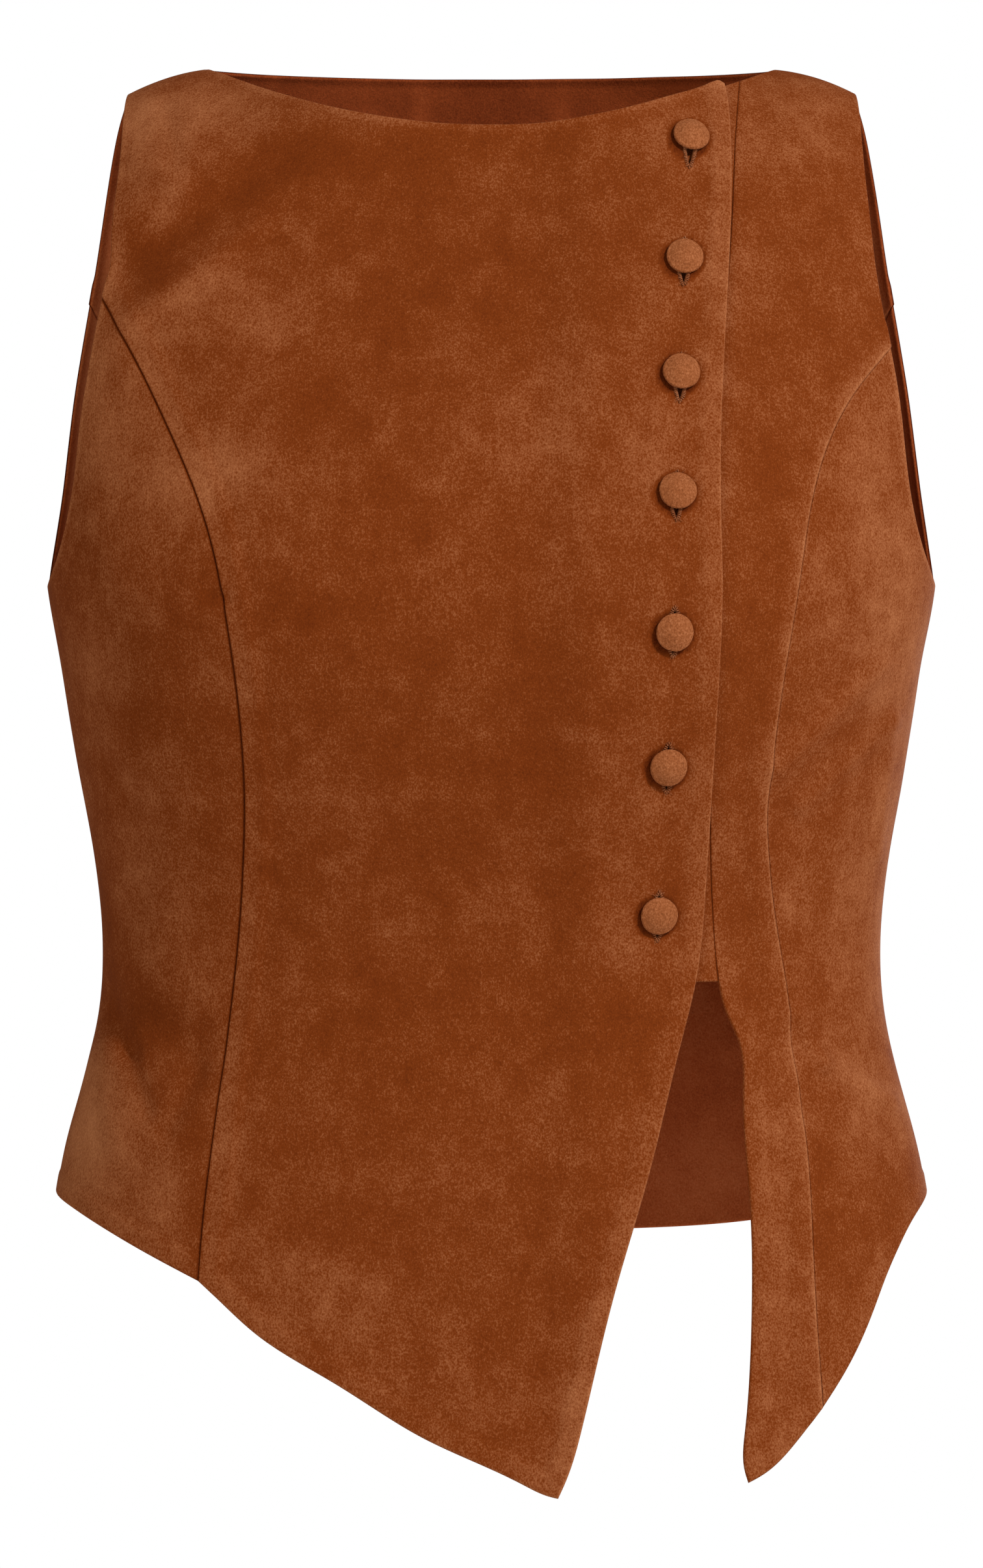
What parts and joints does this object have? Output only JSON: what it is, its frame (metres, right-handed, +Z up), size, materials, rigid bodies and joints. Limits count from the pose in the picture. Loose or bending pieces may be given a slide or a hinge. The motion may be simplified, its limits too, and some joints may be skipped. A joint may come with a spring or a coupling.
{
  "type": "suede vest",
  "caption": "Sleeveless fitted suede vest with a boat neck, side-lapped button closure, shaped panel seams and pointed front hems, filled out and hollow.",
  "frame": {"origin": "midway between the two shoulder seams, at their mean height, where the garment is held up", "axes": "+Z up, front facing -Y, +X to the wearer's left"},
  "size_m": [0.3408, 0.2105, 0.5392],
  "materials": {
    "suede": "tan suede with a short matt nap, lighter where it is brushed or worn",
    "covered_button": "suede stretched over a button mould, a little lighter than the panels"
  },
  "bodies": {
    "root": {"right_front": "suede", "right_front_side": "suede", "left_front": "suede", "left_front_side": "suede", "button_stand": "suede", "back_centre": "suede", "back_side_left": "suede", "back_side_right": "suede", "button_1": "covered_button", "button_2": "covered_button", "button_3": "covered_button", "button_4": "covered_button", "button_5": "covered_button", "button_6": "covered_button", "button_7": "covered_button"}
  },
  "joints": []
}
